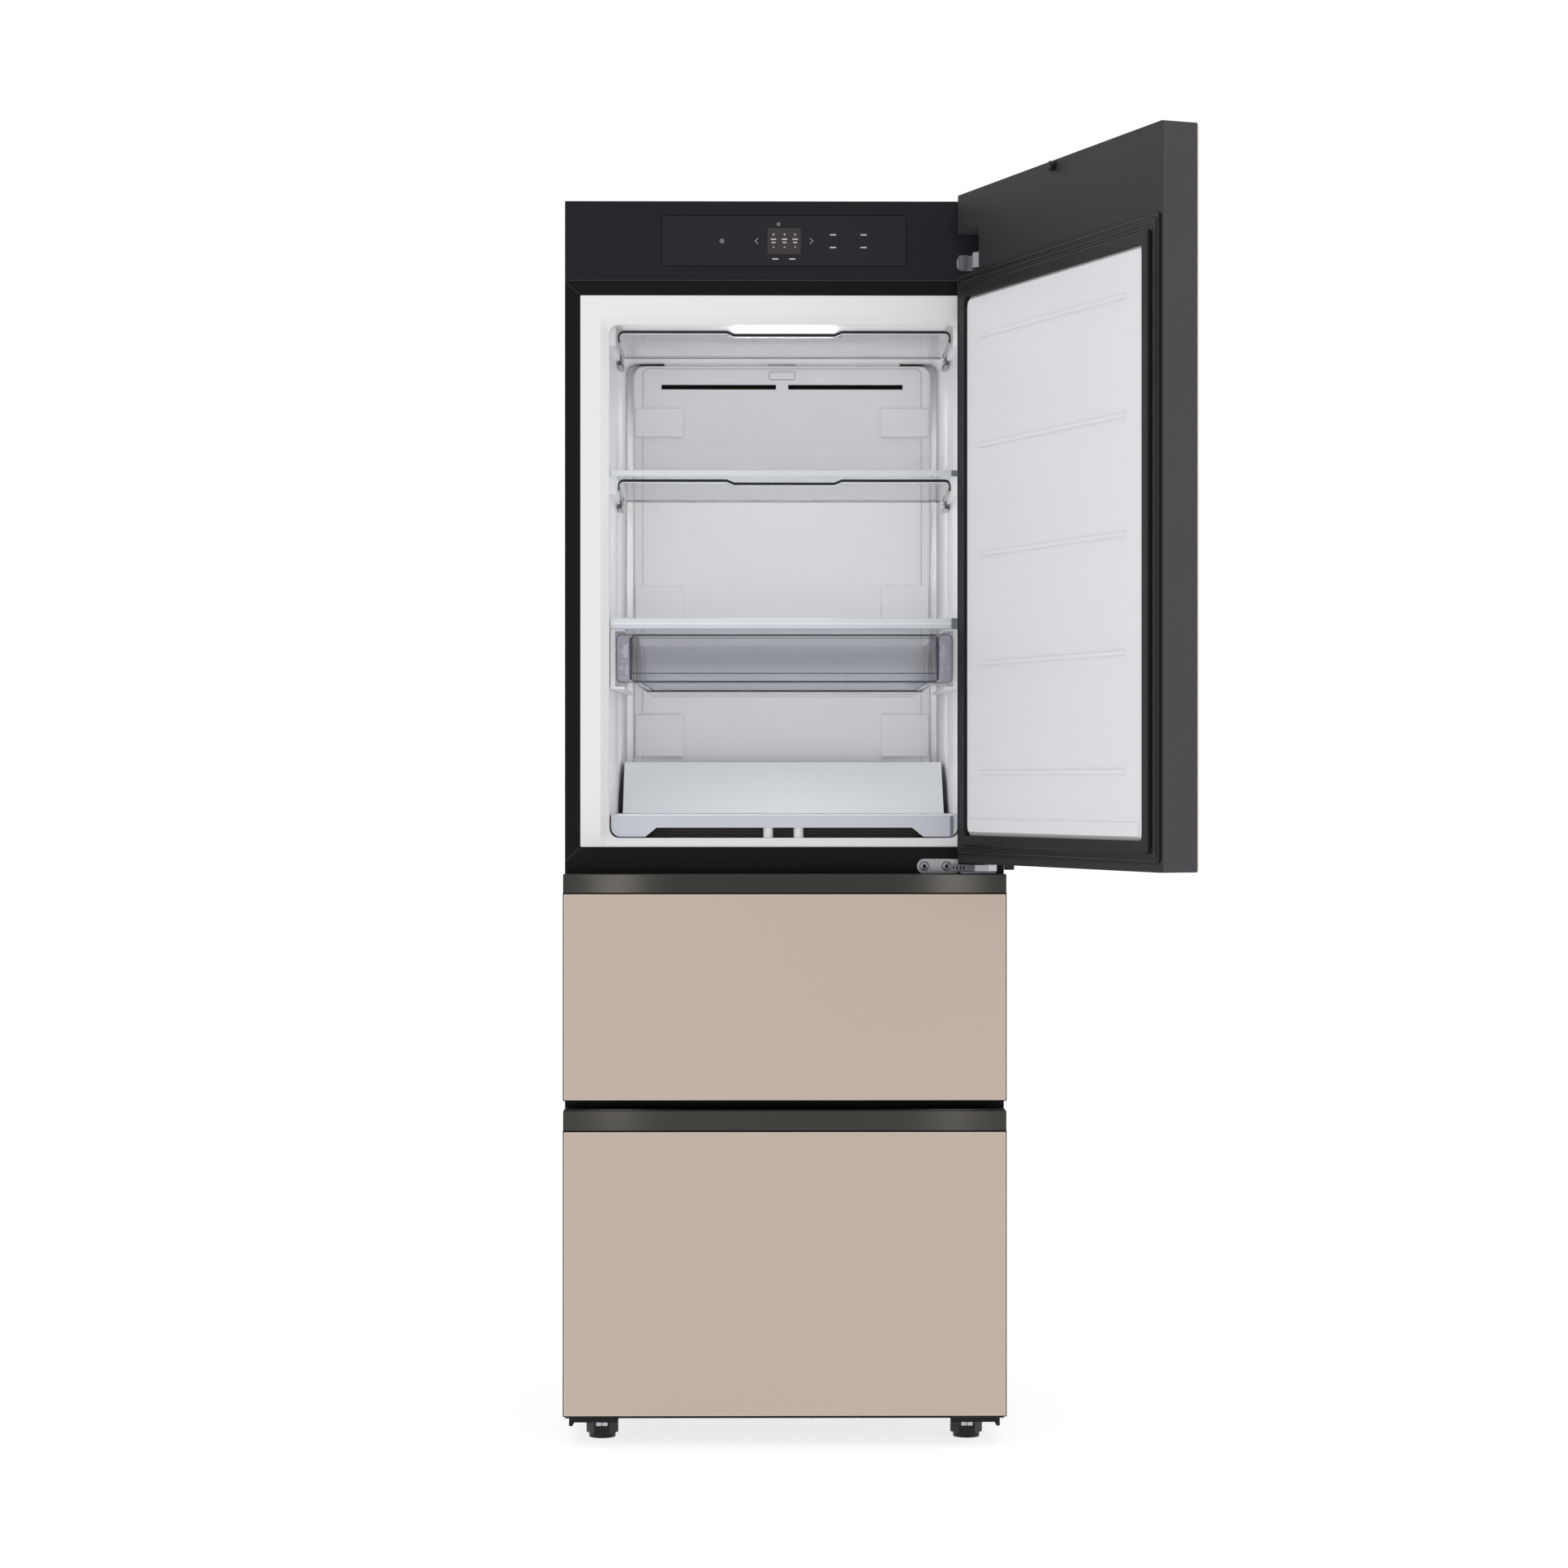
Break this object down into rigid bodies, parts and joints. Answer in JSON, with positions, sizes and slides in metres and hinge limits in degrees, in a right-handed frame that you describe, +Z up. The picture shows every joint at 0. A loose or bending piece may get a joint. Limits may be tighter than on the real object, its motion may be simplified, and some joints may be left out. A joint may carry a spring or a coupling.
{
  "type": "kimchi refrigerator",
  "caption": "Tall free-standing kimchi refrigerator with a hinged upper door shown open on its shelves, flap guards and tray, above full-width sliding drawers.",
  "frame": {"origin": "on the floor, under the middle of the whole outline as shown, with the door open", "axes": "+Z up, -Y out of the front, +X to the right of someone facing the front"},
  "size_m": [0.8752, 1.282, 1.8644],
  "materials": {
    "steel_case": "painted steel",
    "grey_steel": "galvanised steel",
    "bright_steel": "zinc-plated steel",
    "foam": "polyurethane foam",
    "white_liner": "ABS plastic",
    "white_moulding": "ABS plastic",
    "black_frame": "ABS plastic",
    "dark_fascia": "ABS plastic",
    "window": "acrylic plastic",
    "lamp": "acrylic plastic",
    "glass": "glass",
    "bright_trim": "anodised aluminium",
    "metal_look": "stainless steel",
    "dark_clear_plastic": "polycarbonate plastic",
    "smoke_plastic": "SAN plastic",
    "door_charcoal": "ABS plastic",
    "beige_metal": "coated steel",
    "door_white": "ABS plastic",
    "rubber": "PVC rubber",
    "black_plastic": "ABS plastic",
    "handle_brown": "painted aluminium"
  },
  "bodies": {
    "cabinet": {"outer_case": "steel_case", "rear_panel": "grey_steel", "machine_cover": "grey_steel", "base_pan": "grey_steel", "condenser": "grey_steel", "foam_body": "foam", "upper_liner": "white_liner", "middle_liner": "white_liner", "lower_liner": "white_liner", "front_frame": "black_frame", "control_panel": "dark_fascia", "display_window": "window", "top_hinge_bracket": "bright_steel", "lower_hinge_bracket": "bright_steel", "led_lens": "lamp", "duct_cover": "white_moulding", "sensor_cover": "white_moulding", "tray_rail_left": "white_moulding", "tray_rail_right": "white_moulding", "shelf_upper": "glass", "shelf_lower": "glass", "shelf_trim": "bright_trim", "bottom_deck": "metal_look", "cooling_plate": "metal_look", "compressor": "black_plastic", "drawer_upper_channel_left": "grey_steel", "drawer_upper_channel_right": "grey_steel", "drawer_lower_channel_left": "grey_steel", "drawer_lower_channel_right": "grey_steel"},
    "door": {"door_shell": "door_charcoal", "door_front_panel": "beige_metal", "door_liner": "door_white", "door_gasket": "rubber", "door_bumper": "black_plastic"},
    "drawer_upper": {"drawer_upper_rail_left": "bright_steel", "drawer_upper_rail_right": "bright_steel", "drawer_upper_box": "white_moulding", "drawer_upper_front": "beige_metal", "drawer_upper_gasket": "rubber", "drawer_upper_body": "black_plastic", "drawer_upper_handle": "handle_brown"},
    "drawer_lower": {"drawer_lower_rail_left": "bright_steel", "drawer_lower_rail_right": "bright_steel", "drawer_lower_box": "white_moulding", "drawer_lower_front": "beige_metal", "drawer_lower_gasket": "rubber", "drawer_lower_body": "black_plastic", "drawer_lower_handle": "handle_brown"},
    "tray": {"tray": "smoke_plastic"},
    "flap_upper_carriage": {"flap_upper_runner_left": "dark_clear_plastic", "flap_upper_runner_right": "dark_clear_plastic"},
    "flap_upper": {"flap_upper": "smoke_plastic"},
    "flap_lower_carriage": {"flap_lower_runner_left": "dark_clear_plastic", "flap_lower_runner_right": "dark_clear_plastic"},
    "flap_lower": {"flap_lower": "smoke_plastic"},
    "foot_left": {"foot_left": "black_plastic"},
    "foot_right": {"foot_right": "black_plastic"},
    "roller_left": {"roller_left": "black_plastic"},
    "roller_right": {"roller_right": "black_plastic"},
    "condenser_fan": {"condenser_fan": "black_plastic"}
  },
  "joints": [
    {"name": "door_hinge", "type": "hinge", "parent": "cabinet", "child": "door", "pos_m": [0.19537, -0.03679, 0], "axis": [0, 0, 1], "range_deg": [-111, 9]},
    {"name": "drawer_upper_slide", "type": "slide", "parent": "cabinet", "child": "drawer_upper", "axis": [0, -1, 0], "range_m": [0, 0.4]},
    {"name": "drawer_lower_slide", "type": "slide", "parent": "cabinet", "child": "drawer_lower", "axis": [0, -1, 0], "range_m": [0, 0.26]},
    {"name": "tray_slide", "type": "slide", "parent": "cabinet", "child": "tray", "axis": [0, -1, 0], "range_m": [0, 0.25]},
    {"name": "flap_upper_slide", "type": "slide", "parent": "cabinet", "child": "flap_upper_carriage", "axis": [0, -1, 0], "range_m": [0, 0.18]},
    {"name": "flap_upper_hinge", "type": "hinge", "parent": "flap_upper_carriage", "child": "flap_upper", "pos_m": [-0.10763, 0.22901, 1.653], "axis": [1, 0, 0], "range_deg": [0, 94]},
    {"name": "flap_lower_slide", "type": "slide", "parent": "cabinet", "child": "flap_lower_carriage", "axis": [0, -1, 0], "range_m": [0, 0.18]},
    {"name": "flap_lower_hinge", "type": "hinge", "parent": "flap_lower_carriage", "child": "flap_lower", "pos_m": [-0.10763, 0.22901, 1.42848], "axis": [1, 0, 0], "range_deg": [0, 94]},
    {"name": "foot_left_turn", "type": "hinge", "parent": "cabinet", "child": "foot_left", "pos_m": [-0.38263, 0.04201, 0], "axis": [0, 0, 1], "continuous": true},
    {"name": "roller_left_spin", "type": "hinge", "parent": "cabinet", "child": "roller_left", "pos_m": [-0.37763, 0.57601, 0.02], "axis": [1, 0, 0], "continuous": true},
    {"name": "foot_right_turn", "type": "hinge", "parent": "cabinet", "child": "foot_right", "pos_m": [0.16737, 0.04201, 0], "axis": [0, 0, 1], "continuous": true},
    {"name": "roller_right_spin", "type": "hinge", "parent": "cabinet", "child": "roller_right", "pos_m": [0.16237, 0.57601, 0.02], "axis": [1, 0, 0], "continuous": true},
    {"name": "condenser_fan_spin", "type": "hinge", "parent": "cabinet", "child": "condenser_fan", "pos_m": [-0.08563, 0.50601, 0.125], "axis": [1, 0, 0], "continuous": true}
  ]
}
